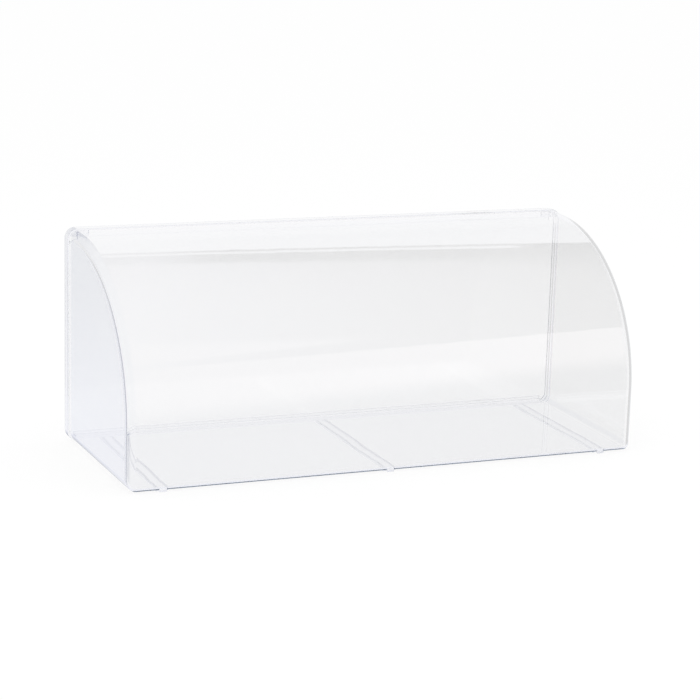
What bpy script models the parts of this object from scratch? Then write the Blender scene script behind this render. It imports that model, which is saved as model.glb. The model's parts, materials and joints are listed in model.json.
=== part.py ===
"""Clear counter display case with a curved front and a flap door in its rear opening.

Frame: +X is to the right as seen from the front, +Y is towards the rear and +Z is up. The origin is at the
middle of the footprint, on the surface that the case stands on. Lengths are in metres.
"""

import math

import bmesh
import bpy

MM = 0.001
QUARTER_TURN = math.pi / 2

# The moulded case: base, curved front and top, and two ends
FRONT_WIDTH = 560 * MM  # across the front, where the drafted ends are closest
CASE_DEPTH = 212 * MM  # from the front face to the rear edge of the rim
FRONT_RISE = 62.7 * MM  # straight part of the front, above the underside of the base
ARC_RISE = 161.7 * MM  # height of the curved part, a quarter of an ellipse
FLAT_TOP = 15 * MM  # between the curved part and the rim
WALL = 2.6 * MM
END_FILLET = 9.5 * MM  # round edge between the ends and the base, front and top
DRAFT = math.radians(1.3)  # the ends and the top open towards the rear, so that the core comes out
ARC_STEPS = 36
FILLET_STEPS = 6

# The stepped rim round the rear opening
RIM_LENGTH = 15 * MM
RIM_STEP = 1.5 * MM  # how far the rim stands out from the walls

# The strips under the base, each with a toe in a notch of the front's lower edge
STRIP_WIDTH = 14 * MM
STRIP_THICKNESS = 1.8 * MM
STRIP_SETBACK = 5 * MM  # from the front face to the full width of the strip
STRIP_INSET = 37 * MM  # from each end of the front to the middle of the strip next to it
STRIP_EDGE = 0.4 * MM
TOE_WIDTH = 7.5 * MM
TOE_SIZE = 1.9 * MM  # height above the underside of the base, and depth behind the front face

# The flap door
PANEL = 2 * MM
DOOR_GAP = 0.8 * MM  # between the door and the rim, at the sides and the foot
BEAD_RADIUS = 3.2 * MM  # round bead along the head, which the pins run in
BEAD_TOP_GAP = 0.7 * MM
PANEL_OFFSET = 0.4 * MM  # the panel hangs this far behind the hinge line, so that its weight closes it
PULL_THICKNESS = 2.2 * MM  # flange along the foot, which rests on the step and which the fingers lift
PULL_LIP = 2.6 * MM  # how far the flange's edge turns up
PULL_LIP_THICKNESS = 2 * MM
PULL_INSET = 1.5 * MM  # from the flange's edge to the rear edge of the rim
SWING_GAP = 0.4 * MM  # between the raised door and the round upper corners of the rim

# The eyes in the rim's upper corners, and the pins
EYE_WIDTH = 9 * MM
EYE_GAP = 0.7 * MM  # between an eye and the turning door
PIN_RADIUS = 1.5 * MM
PIN_GAP = 0.15 * MM
PIN_INSET = 3 * MM  # from the side of the rim's opening to the pin's outer end
PIN_HOLD = 10 * MM  # length of the pin inside the bead
PIN_CHAMFER = 0.3 * MM
BORE_END_GAP = 0.5 * MM
ROUND_STEPS = 32
BORE_STEPS = 24

SEAT_GAP = 0.3 * MM  # between pieces that rest on each other or are bonded
OVERRUN = 5 * MM  # how far every cutter runs past what it cuts

# Places that follow from the sizes above
FRONT_Y = -CASE_DEPTH / 2
REAR_Y = CASE_DEPTH / 2
UNDERSIDE_Z = STRIP_THICKNESS + SEAT_GAP
STRIP_OFFSET = FRONT_WIDTH / 2 - STRIP_INSET
RIM_START_Y = REAR_Y - RIM_LENGTH
SHOULDER_Z = UNDERSIDE_Z + FRONT_RISE
ARC_TOP_Z = SHOULDER_Z + ARC_RISE
ARC_END_Y = RIM_START_Y - FLAT_TOP
ARC_REACH = ARC_END_Y - FRONT_Y  # how far the curved part runs back
CASE_TOP_Z = ARC_TOP_Z + (RIM_START_Y - ARC_END_Y) * math.tan(DRAFT)
REBATE_HALF = FRONT_WIDTH / 2 + (RIM_START_Y - FRONT_Y) * math.tan(DRAFT) + RIM_STEP - WALL
REBATE_TOP_Z = CASE_TOP_Z + RIM_STEP - WALL
REBATE_FLOOR_Z = UNDERSIDE_Z - RIM_STEP + WALL
REBATE_CORNER = END_FILLET + RIM_STEP - WALL
DOOR_STOP_Y = RIM_START_Y + WALL  # the step inside the rim, which the closed door rests on
DOOR_FRONT_Y = DOOR_STOP_Y + SEAT_GAP
HINGE_Y = DOOR_FRONT_Y + BEAD_RADIUS
HINGE_Z = REBATE_TOP_Z - BEAD_TOP_GAP - BEAD_RADIUS
PANEL_FRONT_Y = HINGE_Y + PANEL_OFFSET - PANEL / 2
PANEL_REAR_Y = PANEL_FRONT_Y + PANEL
DOOR_HALF = REBATE_HALF - DOOR_GAP
DOOR_FOOT_Z = REBATE_FLOOR_Z + DOOR_GAP
DOOR_CORNER = REBATE_CORNER - DOOR_GAP
EYE_OUTER_X = REBATE_HALF - SEAT_GAP
EYE_INNER_X = EYE_OUTER_X - EYE_WIDTH
BEAD_HALF = EYE_INNER_X - EYE_GAP
PIN_OUTER_X = REBATE_HALF - PIN_INSET
PIN_INNER_X = BEAD_HALF - PIN_HOLD

# Raised level, the door lies under the rim's round upper corners, so its own corners start lower down
RAISED_TOP_Z = HINGE_Z + PANEL_REAR_Y - HINGE_Y
CORNER_CLIMB = max(0, RAISED_TOP_Z - REBATE_TOP_Z + REBATE_CORNER)
RIM_NARROWING = REBATE_CORNER - math.sqrt(REBATE_CORNER**2 - CORNER_CLIMB**2)
CORNER_INSET = max(0, RIM_NARROWING - DOOR_GAP + SWING_GAP)
CORNER_DROP = math.sqrt(DOOR_CORNER**2 - (DOOR_CORNER - CORNER_INSET) ** 2)
NOTCH_Z = HINGE_Z - (REAR_Y - HINGE_Y) - CORNER_DROP + DOOR_CORNER

CLEAR_TINT = (0.95, 0.97, 1.0, 1.0)
STRIP_TINT = (0.93, 0.95, 1.0, 1.0)


def clear_scene():
    for old in list(bpy.data.objects):
        bpy.data.objects.remove(old, do_unlink=True)


def clear_plastic(name, tint, roughness, ior):
    """A clear material of its own for one piece."""
    material = bpy.data.materials.new(name)
    material.use_nodes = True
    shader = material.node_tree.nodes["Principled BSDF"]
    shader.inputs["Base Color"].default_value = tint
    shader.inputs["Metallic"].default_value = 0.0
    shader.inputs["Roughness"].default_value = roughness
    shader.inputs["IOR"].default_value = ior
    shader.inputs["Transmission Weight"].default_value = 1.0
    return material


def moulded(name):
    """Polished moulded polycarbonate."""
    return clear_plastic(name + "_plastic", CLEAR_TINT, 0.03, 1.58)


def soft(name):
    """Clear soft strip, a little duller than the case."""
    return clear_plastic(name + "_plastic", STRIP_TINT, 0.12, 1.42)


def new_object(name, shape, material=None):
    """Turns a bmesh into an object of the scene and frees the bmesh."""
    mesh = bpy.data.meshes.new(name)
    shape.to_mesh(mesh)
    shape.free()
    made = bpy.data.objects.new(name, mesh)
    bpy.context.scene.collection.objects.link(made)
    if material:
        mesh.materials.append(material)
    return made


def prism(outline, place, start, end):
    """Extrudes a flat outline from start to end. place(u, v, along) puts an outline point in space."""
    shape = bmesh.new()
    corners = [shape.verts.new(place(u, v, start)) for u, v in outline]
    face = shape.faces.new(corners)
    grown = bmesh.ops.extrude_face_region(shape, geom=[face])
    moved = [item for item in grown["geom"] if isinstance(item, bmesh.types.BMVert)]
    run = [b - a for a, b in zip(place(0, 0, start), place(0, 0, end))]
    bmesh.ops.translate(shape, verts=moved, vec=run)
    bmesh.ops.recalc_face_normals(shape, faces=shape.faces)
    return shape


def along_x(y, z, x):
    return (x, y, z)


def along_y(x, z, y):
    return (x, y, z)


def along_z(x, y, z):
    return (x, y, z)


def arc(centre, radius, start, end, steps):
    """Points on a circular arc, both ends included."""
    turns = [start + (end - start) * step / steps for step in range(steps + 1)]
    return [(centre[0] + radius * math.cos(turn), centre[1] + radius * math.sin(turn)) for turn in turns]


def circle(centre, radius, steps):
    return arc(centre, radius, 0, 4 * QUARTER_TURN, steps)[:-1]


def rectangle(left, right, low, high):
    return [(left, low), (right, low), (right, high), (left, high)]


def round_rectangle(left, right, low, high, radius):
    """Rectangle whose four corners are quarter circles."""
    points = arc((right - radius, low + radius), radius, -QUARTER_TURN, 0, FILLET_STEPS)
    points += arc((right - radius, high - radius), radius, 0, QUARTER_TURN, FILLET_STEPS)
    points += arc((left + radius, high - radius), radius, QUARTER_TURN, 2 * QUARTER_TURN, FILLET_STEPS)
    points += arc((left + radius, low + radius), radius, 2 * QUARTER_TURN, 3 * QUARTER_TURN, FILLET_STEPS)
    return points


def helper(name, shape):
    """A cutter or an added shape that isn't a piece of its own."""
    made = new_object(name, shape)
    made.hide_render = True
    made.display_type = "WIRE"
    return made


def combine(target, other, operation):
    step = target.modifiers.new(other.name, "BOOLEAN")
    step.operation = operation
    step.object = other


def boundary_ring(shape):
    """The open edge of the surface as vertices in order round the opening."""
    edges = [edge for edge in shape.edges if edge.is_boundary]
    start = edges[0].verts[0]
    ring = [start]
    edge = edges[0]
    vert = edge.other_vert(start)
    while vert is not start:
        ring.append(vert)
        edge = next(other for other in vert.link_edges if other.is_boundary and other is not edge)
        vert = edge.other_vert(vert)
    return ring


def widen_ring(ring, distance):
    """Moves each side of a ring outwards in its XZ plane by the same distance."""
    places = [(vert.co.x, vert.co.z) for vert in ring]
    count = len(places)
    area = sum(
        places[i][0] * places[(i + 1) % count][1] - places[(i + 1) % count][0] * places[i][1]
        for i in range(count)
    )
    side = math.copysign(1, area)
    normals = []
    for i in range(count):
        run_x = places[(i + 1) % count][0] - places[i][0]
        run_z = places[(i + 1) % count][1] - places[i][1]
        length = math.hypot(run_x, run_z)
        normals.append((side * run_z / length, -side * run_x / length))
    for i, vert in enumerate(ring):
        before, after = normals[i - 1], normals[i]
        spread = 1 + before[0] * after[0] + before[1] * after[1]
        vert.co.x += distance * (before[0] + after[0]) / spread
        vert.co.z += distance * (before[1] + after[1]) / spread


def extend_surface(shape, out, back):
    """Grows the surface from its open edge, outwards by out and rearwards by back."""
    bmesh.ops.extrude_edge_only(shape, edges=[edge for edge in shape.edges if edge.is_boundary])
    ring = boundary_ring(shape)
    if out:
        widen_ring(ring, out)
    bmesh.ops.translate(shape, verts=ring, vec=(0, back, 0))


def case_profile():
    """Side view of the case in front of the rim, from the base round the front to the top, as (y, z)."""
    points = [(RIM_START_Y, UNDERSIDE_Z), (FRONT_Y, UNDERSIDE_Z)]
    for step in range(ARC_STEPS + 1):
        turn = QUARTER_TURN * step / ARC_STEPS
        points.append((ARC_END_Y - ARC_REACH * math.cos(turn), SHOULDER_Z + ARC_RISE * math.sin(turn)))
    points.append((RIM_START_Y, CASE_TOP_Z))
    return points


def inset_profile(points, distance):
    """Moves every side of the open profile inwards. Its two ends stay in the plane of the rim."""
    normals = []
    for (y, z), (next_y, next_z) in zip(points, points[1:]):
        length = math.hypot(next_y - y, next_z - z)
        normals.append(((next_z - z) / length, (y - next_y) / length))
    inset = [(points[0][0], points[0][1] + distance / normals[0][1])]
    for (y, z), before, after in zip(points[1:], normals, normals[1:]):
        spread = 1 + before[0] * after[0] + before[1] * after[1]
        shift_y = distance * (before[0] + after[0]) / spread
        shift_z = distance * (before[1] + after[1]) / spread
        inset.append((y + shift_y, z + shift_z))
    inset.append((points[-1][0], points[-1][1] + distance / normals[-1][1]))
    return inset


def half_width(y):
    """Half the outer width of the case at a place along its depth."""
    return FRONT_WIDTH / 2 + (y - FRONT_Y) * math.tan(DRAFT)


def fillet_rows(profile):
    """The profile's copies round the fillet of the right end, from the front's edge to the flat end."""
    rows = []
    for step in range(FILLET_STEPS + 1):
        turn = QUARTER_TURN * step / FILLET_STEPS
        inset = inset_profile(profile, END_FILLET * (1 - math.cos(turn)))
        back = END_FILLET * (1 - math.sin(turn))
        rows.append([(half_width(y) - back, y, z) for y, z in inset])
    return rows


def make_case_shell():
    """The moulded shell: a surface with filleted ends and a stepped rim, given its wall inwards."""
    shape = bmesh.new()
    right_rows = fillet_rows(case_profile())
    left_rows = [[(-x, y, z) for x, y, z in row] for row in reversed(right_rows)]
    rows = [[shape.verts.new(point) for point in row] for row in left_rows + right_rows]
    for row, after in zip(rows, rows[1:]):
        for i in range(len(row) - 1):
            shape.faces.new((row[i], row[i + 1], after[i + 1], after[i]))
    shape.faces.new(rows[0])
    shape.faces.new(list(reversed(rows[-1])))
    extend_surface(shape, RIM_STEP, 0)
    extend_surface(shape, 0, RIM_LENGTH)
    bmesh.ops.recalc_face_normals(shape, faces=shape.faces)
    shell = new_object("case_shell", shape, moulded("case_shell"))

    wall = shell.modifiers.new("wall", "SOLIDIFY")
    wall.thickness = WALL
    wall.offset = -1
    wall.solidify_mode = "NON_MANIFOLD"
    wall.nonmanifold_thickness_mode = "CONSTRAINTS"
    wall.nonmanifold_boundary_mode = "NONE"

    notch_half = TOE_WIDTH / 2 + SEAT_GAP
    notch_end_y = FRONT_Y + TOE_SIZE + SEAT_GAP
    notch_top_z = UNDERSIDE_Z + TOE_SIZE + SEAT_GAP
    for name, x in strip_places():
        plan = rectangle(x - notch_half, x + notch_half, FRONT_Y - OVERRUN, notch_end_y)
        cutter = prism(plan, along_z, UNDERSIDE_Z - OVERRUN, notch_top_z)
        combine(shell, helper(name + "_notch", cutter), "DIFFERENCE")
    return shell


def strip_places():
    """Name and X of each foot strip."""
    return [
        ("foot_strip_left", -STRIP_OFFSET),
        ("foot_strip_middle", 0),
        ("foot_strip_right", STRIP_OFFSET),
    ]


def make_foot_strip(name, x):
    """A strip under the base, from its toe in the front's lower edge to the rim."""
    half = STRIP_WIDTH / 2
    toe_half = TOE_WIDTH / 2
    wide_y = FRONT_Y + STRIP_SETBACK
    end_y = RIM_START_Y - SEAT_GAP
    plan = [
        (x - toe_half, FRONT_Y),
        (x + toe_half, FRONT_Y),
        (x + toe_half, wide_y),
        (x + half, wide_y),
        (x + half, end_y),
        (x - half, end_y),
        (x - half, wide_y),
        (x - toe_half, wide_y),
    ]
    strip = new_object(name, prism(plan, along_z, 0, STRIP_THICKNESS), soft(name))
    toe_plan = rectangle(x - toe_half, x + toe_half, FRONT_Y, FRONT_Y + TOE_SIZE)
    toe = prism(toe_plan, along_z, 0, UNDERSIDE_Z + TOE_SIZE)
    combine(strip, helper(name + "_toe", toe), "UNION")
    edge = strip.modifiers.new("edge", "BEVEL")
    edge.width = STRIP_EDGE
    edge.segments = 1
    edge.limit_method = "ANGLE"
    return strip


def door_outline():
    """The door's plate seen along Y: four round corners, and a neck up to the bead between the eyes."""
    low = DOOR_FOOT_Z + DOOR_CORNER
    high = NOTCH_Z - DOOR_CORNER
    side = DOOR_HALF - DOOR_CORNER
    points = arc((side, low), DOOR_CORNER, -QUARTER_TURN, 0, FILLET_STEPS)
    points += arc((side, high), DOOR_CORNER, 0, QUARTER_TURN, FILLET_STEPS)
    points += [(BEAD_HALF, NOTCH_Z), (BEAD_HALF, HINGE_Z)]
    points += [(-BEAD_HALF, HINGE_Z), (-BEAD_HALF, NOTCH_Z)]
    points += arc((-side, high), DOOR_CORNER, QUARTER_TURN, 2 * QUARTER_TURN, FILLET_STEPS)
    points += arc((-side, low), DOOR_CORNER, 2 * QUARTER_TURN, 3 * QUARTER_TURN, FILLET_STEPS)
    return points


def pull_section():
    """The flange along the door's foot, as (y, z), from the step to an edge that turns up for the fingers."""
    edge_y = REAR_Y - PULL_INSET
    top = DOOR_FOOT_Z + PULL_THICKNESS
    lip_y = edge_y - PULL_LIP_THICKNESS
    crown = top + PULL_LIP - PULL_LIP_THICKNESS / 2
    points = [(DOOR_FRONT_Y, DOOR_FOOT_Z), (edge_y, DOOR_FOOT_Z)]
    centre = (edge_y - PULL_LIP_THICKNESS / 2, crown)
    points += arc(centre, PULL_LIP_THICKNESS / 2, 0, 2 * QUARTER_TURN, FILLET_STEPS)
    points += [(lip_y, top), (DOOR_FRONT_Y, top)]
    return points


def make_rear_door():
    """The flap: a thin plate with a round bead along its head and a flange along its foot."""
    plate = prism(door_outline(), along_y, PANEL_FRONT_Y, PANEL_REAR_Y)
    door = new_object("rear_door", plate, moulded("rear_door"))

    bead = prism(circle((HINGE_Y, HINGE_Z), BEAD_RADIUS, ROUND_STEPS), along_x, -BEAD_HALF, BEAD_HALF)
    combine(door, helper("door_bead", bead), "UNION")

    pull_half = DOOR_HALF - DOOR_CORNER
    pull = prism(pull_section(), along_x, -pull_half, pull_half)
    combine(door, helper("door_pull", pull), "UNION")

    for side in (-1, 1):
        start = side * (PIN_INNER_X - BORE_END_GAP)
        end = side * (BEAD_HALF + OVERRUN)
        bore = prism(pin_circle(PIN_RADIUS + PIN_GAP), along_x, start, end)
        combine(door, helper("door_bore_" + side_name(side), bore), "DIFFERENCE")
    return door


def pin_circle(radius):
    return circle((HINGE_Y, HINGE_Z), radius, BORE_STEPS)


def side_name(side):
    return "left" if side < 0 else "right"


def make_hinge_eye(side):
    """A bonded eye in an upper corner of the rim: flat above, and round below about the hinge line."""
    name = "hinge_eye_" + side_name(side)
    section = arc((HINGE_Y, HINGE_Z), BEAD_RADIUS, 2 * QUARTER_TURN, 4 * QUARTER_TURN, ROUND_STEPS // 2)
    section += [(HINGE_Y + BEAD_RADIUS, REBATE_TOP_Z), (HINGE_Y - BEAD_RADIUS, REBATE_TOP_Z)]
    blank = prism(section, along_x, side * EYE_INNER_X, side * REBATE_HALF)
    eye = new_object(name, blank, moulded(name))

    opening = round_rectangle(
        -EYE_OUTER_X,
        EYE_OUTER_X,
        REBATE_FLOOR_Z + SEAT_GAP,
        REBATE_TOP_Z - SEAT_GAP,
        REBATE_CORNER - SEAT_GAP,
    )
    core = prism(opening, along_y, RIM_START_Y, REAR_Y)
    combine(eye, helper(name + "_core", core), "INTERSECT")

    start = side * (EYE_INNER_X - OVERRUN)
    end = side * (EYE_OUTER_X + OVERRUN)
    bore = prism(pin_circle(PIN_RADIUS + PIN_GAP), along_x, start, end)
    combine(eye, helper(name + "_bore", bore), "DIFFERENCE")
    return eye


def make_hinge_pin(side):
    """A plain pin with chamfered ends, bonded in its eye and free in the door's bead."""
    name = "hinge_pin_" + side_name(side)
    shape = prism(pin_circle(PIN_RADIUS), along_x, side * PIN_INNER_X, side * PIN_OUTER_X)
    pin = new_object(name, shape, moulded(name))
    edge = pin.modifiers.new("edge", "BEVEL")
    edge.width = PIN_CHAMFER
    edge.segments = 1
    edge.limit_method = "ANGLE"
    edge.angle_limit = QUARTER_TURN / 2
    return pin


def hang(piece, pivot):
    """Hangs a moving piece under its pivot without moving it."""
    piece.parent = pivot
    piece.matrix_parent_inverse = pivot.matrix_world.inverted()


def make_pivot():
    """The hinge line of the door, as an empty."""
    pivot = bpy.data.objects.new("door_hinge", None)
    pivot.location = (0, HINGE_Y, HINGE_Z)
    bpy.context.scene.collection.objects.link(pivot)
    bpy.context.view_layer.update()
    return pivot


def smooth_round_faces(piece):
    piece.data.shade_smooth()
    piece.data.set_sharp_from_angle(angle=QUARTER_TURN / 3)


def main():
    clear_scene()
    pieces = [make_case_shell()]
    pieces += [make_foot_strip(name, x) for name, x in strip_places()]
    for side in (-1, 1):
        pieces.append(make_hinge_eye(side))
        pieces.append(make_hinge_pin(side))
    door = make_rear_door()
    hang(door, make_pivot())
    pieces.append(door)
    for piece in pieces:
        smooth_round_faces(piece)


main()
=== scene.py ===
# %% [markdown]
# # A clear counter display case
#
# The case is one moulding of clear plastic: a flat base, a front that rises straight and then curves back,
# and two closed ends. A flap door hangs in its rear opening, and three clear strips lie under its base.
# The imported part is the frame, and this lesson dresses it: finer meshes for the mouldings, clear plastic
# that bends and mirrors light, and a white studio whose dark and light areas show in the case.

# %% Load the frame
import json
import math

import bmesh
import bpy
from mathutils import Matrix, Vector


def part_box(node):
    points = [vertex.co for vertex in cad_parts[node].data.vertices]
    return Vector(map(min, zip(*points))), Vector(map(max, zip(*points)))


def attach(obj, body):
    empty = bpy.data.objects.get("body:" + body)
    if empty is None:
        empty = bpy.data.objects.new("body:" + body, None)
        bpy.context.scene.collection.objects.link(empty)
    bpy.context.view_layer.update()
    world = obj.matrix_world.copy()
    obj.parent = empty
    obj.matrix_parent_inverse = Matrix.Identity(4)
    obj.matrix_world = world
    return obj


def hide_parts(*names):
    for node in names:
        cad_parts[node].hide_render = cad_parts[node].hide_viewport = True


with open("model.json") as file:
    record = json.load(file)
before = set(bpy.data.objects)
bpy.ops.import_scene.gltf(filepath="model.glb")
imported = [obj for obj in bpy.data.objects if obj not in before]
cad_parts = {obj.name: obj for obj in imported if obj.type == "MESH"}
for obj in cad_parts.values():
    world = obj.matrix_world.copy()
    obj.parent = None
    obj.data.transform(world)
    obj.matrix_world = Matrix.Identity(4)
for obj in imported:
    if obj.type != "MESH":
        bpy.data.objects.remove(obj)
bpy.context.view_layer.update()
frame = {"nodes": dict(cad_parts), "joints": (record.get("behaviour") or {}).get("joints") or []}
print("the packed part has the nodes", sorted(frame["nodes"]))

# %% [markdown]
# ## Sizes
#
# A moulded case follows a few driving sizes. They are read off the frame where it gives them, so that the
# finer meshes fit the solids, and the rest are written here once, in metres.

# %% Read the driving sizes off the frame
MM = 0.001
QUARTER_TURN = math.pi / 2

shell_low, shell_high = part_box("case_shell")
door_low, door_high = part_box("rear_door")
strip_low, strip_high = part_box("foot_strip_middle")
side_strip_low, side_strip_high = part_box("foot_strip_right")
eye_low, eye_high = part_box("hinge_eye_right")
pin_low, pin_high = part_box("hinge_pin_right")

WALL = 2.6 * MM
END_FILLET = 9.5 * MM  # round edge between the ends and the base, front and top
DRAFT = math.radians(1.3)  # the ends and the top open a little towards the rear
FRONT_RISE = 62.7 * MM  # straight part of the front
FLAT_TOP = 15 * MM  # between the curve and the rim
RIM_LENGTH = 15 * MM
RIM_STEP = 1.5 * MM  # how far the rim stands out from the walls
SEAT_GAP = 0.3 * MM  # left where a piece is bonded to another one
EDGE_ROUND = 1.2 * MM  # the lower front edge, outside
INNER_EDGE_ROUND = 0.25 * MM

front_y, rear_y = shell_low.y, shell_high.y
rim_start_y = rear_y - RIM_LENGTH
underside_z = shell_low.z + RIM_STEP
case_top_z = shell_high.z - RIM_STEP
arc_end_y = rim_start_y - FLAT_TOP
shoulder_z = underside_z + FRONT_RISE
arc_top_z = case_top_z - FLAT_TOP * math.tan(DRAFT)
rim_half = shell_high.x
front_half = rim_half - RIM_STEP - (rim_start_y - front_y) * math.tan(DRAFT)
strip_spacing = (side_strip_low.x + side_strip_high.x) / 2
print(f"front {2 * front_half:.3f} m wide, case {rear_y - front_y:.3f} m deep, top at {case_top_z:.4f} m")

# %% [markdown]
# ## Clear plastic
#
# Moulded polycarbonate bends light more than glass does, and a long way through it light turns bluish, which
# is why its edges look dark blue. The surface shader gives the bending and the mirroring, and Volume
# Absorption gives the colour that grows with the length of the way. A little noise in the roughness stands
# for the faint haze of handling, and a very low, wide bump for the waviness that every moulding has. The eyes
# and the strips bend light less here, because the outlines of pieces that are bonded in place are faint.

# %% Small helpers for node trees
WHITE = (1.0, 1.0, 1.0, 1.0)


def put(tree, socket, value):
    """Feeds a socket with a link or a plain value."""
    if isinstance(value, bpy.types.NodeSocket):
        tree.links.new(value, socket)
    else:
        socket.default_value = value


def calculate(tree, operation, first, second=0.0):
    node = tree.nodes.new("ShaderNodeMath")
    node.operation = operation
    put(tree, node.inputs[0], first)
    put(tree, node.inputs[1], second)
    return node.outputs[0]


def parts_of(tree, vector):
    node = tree.nodes.new("ShaderNodeSeparateXYZ")
    tree.links.new(vector, node.inputs[0])
    return node.outputs


def soft_step(tree, value, edge, softness):
    """0 below the edge and 1 above it, with a soft change."""
    node = tree.nodes.new("ShaderNodeMapRange")
    node.interpolation_type = "SMOOTHSTEP"
    node.inputs["From Min"].default_value = -softness
    node.inputs["From Max"].default_value = softness
    tree.links.new(calculate(tree, "SUBTRACT", value, edge), node.inputs["Value"])
    return node.outputs["Result"]


def soft_fall(tree, value, edge, softness):
    """1 below the edge and 0 above it."""
    return calculate(tree, "SUBTRACT", 1.0, soft_step(tree, value, edge, softness))


def between(tree, value, low, high):
    """1 between two borders. Each border is an edge with its softness."""
    return calculate(tree, "MULTIPLY", soft_step(tree, value, *low), soft_fall(tree, value, *high))


def mix_colour(tree, share, below, above):
    node = tree.nodes.new("ShaderNodeMix")
    node.data_type = "RGBA"
    colours = [socket for socket in node.inputs if socket.type == "RGBA"]
    put(tree, node.inputs[0], share)
    put(tree, colours[0], below)
    put(tree, colours[1], above)
    return next(socket for socket in node.outputs if socket.type == "RGBA")


def noise(tree, place, scale, detail):
    node = tree.nodes.new("ShaderNodeTexNoise")
    node.inputs["Scale"].default_value = scale
    node.inputs["Detail"].default_value = detail
    tree.links.new(place, node.inputs["Vector"])
    return node.outputs["Fac"]


def place_on_piece(tree):
    return tree.nodes.new("ShaderNodeTexCoord").outputs["Object"]


print("small node helpers ready")

# %% Make a clear plastic from nodes
CLEAR = (0.997, 0.998, 1.0, 1.0)
EDGE_BLUE = (0.30, 0.40, 0.85, 1.0)
HANDLING_SCALE, HANDLING_DETAIL = 22.0, 4.0
HANDLING_RANGE = (0.45, 0.8)  # the part of the noise that is spread over the haze
WAVE_SCALE, WAVE_DETAIL = 30.0, 1.0


def clear_plastic(name, ior, haze, wave_height, density):
    """The haze is the least and the greatest roughness. The density of the blue is per metre."""
    material = bpy.data.materials.new(name)
    material.use_nodes = True
    tree = material.node_tree
    nodes, links = tree.nodes, tree.links
    shader = nodes["Principled BSDF"]
    shader.inputs["Base Color"].default_value = CLEAR
    shader.inputs["IOR"].default_value = ior
    shader.inputs["Transmission Weight"].default_value = 1.0
    place = place_on_piece(tree)

    spread = nodes.new("ShaderNodeMapRange")
    for label, value in zip(("From Min", "From Max", "To Min", "To Max"), HANDLING_RANGE + haze):
        spread.inputs[label].default_value = value
    links.new(noise(tree, place, HANDLING_SCALE, HANDLING_DETAIL), spread.inputs["Value"])
    links.new(spread.outputs["Result"], shader.inputs["Roughness"])

    bump = nodes.new("ShaderNodeBump")
    bump.inputs["Distance"].default_value = wave_height
    links.new(noise(tree, place, WAVE_SCALE, WAVE_DETAIL), bump.inputs["Height"])
    links.new(bump.outputs["Normal"], shader.inputs["Normal"])

    absorption = nodes.new("ShaderNodeVolumeAbsorption")
    absorption.inputs["Color"].default_value = EDGE_BLUE
    absorption.inputs["Density"].default_value = density
    links.new(absorption.outputs["Volume"], nodes["Material Output"].inputs["Volume"])
    return material


moulding = clear_plastic("case_plastic", ior=1.58, haze=(0.0, 0.02), wave_height=0.05 * MM, density=0.35)
door_plastic = clear_plastic("door_plastic", ior=1.58, haze=(0.0, 0.02), wave_height=0.05 * MM, density=0.4)
hinge_plastic = clear_plastic("hinge_plastic", ior=1.2, haze=(0.2, 0.35), wave_height=0.02 * MM, density=6.0)
strip_plastic = clear_plastic("strip_plastic", ior=1.42, haze=(0.02, 0.08), wave_height=0.03 * MM, density=0.3)
print("four clear plastics")

# %% [markdown]
# Two kinds of thin dark line are painted into the clear plastic as shade. The lower front edge lets little
# light in, and a dark painted shade stands there; each strip gets two faint, wavy painted shade lines near its
# sides, where a clear strip's edges look dark. Both are given by the place on the piece.

# %% Paint shade lines on the lower edge and the strips
# Painted shade: a dark line along the lower front edge, from the underside up to the height below
PAINTED_EDGE_SHADE = (0.04, 0.06, 0.09, 1.0)
PAINTED_EDGE_SHADE_HEIGHT = 1.4 * MM  # the dark part, from the underside up
# Painted shade: two faint, wavy dark lines near each strip's sides, where a clear strip's edges look dark
PAINTED_STRIP_SHADE = (0.68, 0.69, 0.73, 1.0)
LINE_INSET = 1.8 * MM  # from the strip's side to the line
LINE_HALF = 1.2 * MM  # half the width of a line
LINE_WOBBLE = 6 * MM
WOBBLE_SCALE, WOBBLE_DETAIL = 16.0, 1.0
NOISE_MIDDLE = 0.5


def tint_where(material, share, tint):
    tree = material.node_tree
    shader = tree.nodes["Principled BSDF"]
    tree.links.new(mix_colour(tree, share, CLEAR, tint), shader.inputs["Base Color"])


# The mask of the painted shade along the lower front edge
def on_painted_edge_shade(tree):
    place = parts_of(tree, place_on_piece(tree))
    low = calculate(tree, "LESS_THAN", place["Z"], underside_z + PAINTED_EDGE_SHADE_HEIGHT)
    front = calculate(tree, "LESS_THAN", place["Y"], front_y + EDGE_ROUND)
    return calculate(tree, "MULTIPLY", low, front)


# The mask of the two painted shade lines on each strip
def on_painted_strip_shade(tree):
    """The three strips are equal, so the place across is folded back onto the middle one."""
    place = place_on_piece(tree)
    moved = calculate(tree, "ADD", parts_of(tree, place)["X"], strip_spacing / 2)
    folded = calculate(tree, "FLOORED_MODULO", moved, strip_spacing)
    across = calculate(tree, "SUBTRACT", folded, strip_spacing / 2)
    wobble = calculate(tree, "SUBTRACT", noise(tree, place, WOBBLE_SCALE, WOBBLE_DETAIL), NOISE_MIDDLE)
    across = calculate(tree, "ADD", across, calculate(tree, "MULTIPLY", wobble, LINE_WOBBLE))
    from_middle = calculate(tree, "ABSOLUTE", across)
    line_place = (strip_high.x - strip_low.x) / 2 - LINE_INSET
    away = calculate(tree, "ABSOLUTE", calculate(tree, "SUBTRACT", from_middle, line_place))
    return soft_fall(tree, away, LINE_HALF, LINE_HALF / 2)


# Both painted shades go into the base colour: the edge's into the case, the lines into the strips
tint_where(moulding, on_painted_edge_shade(moulding.node_tree), PAINTED_EDGE_SHADE)
tint_where(strip_plastic, on_painted_strip_shade(strip_plastic.node_tree), PAINTED_STRIP_SHADE)
print("the lower edge and the strips have their lines")

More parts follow.
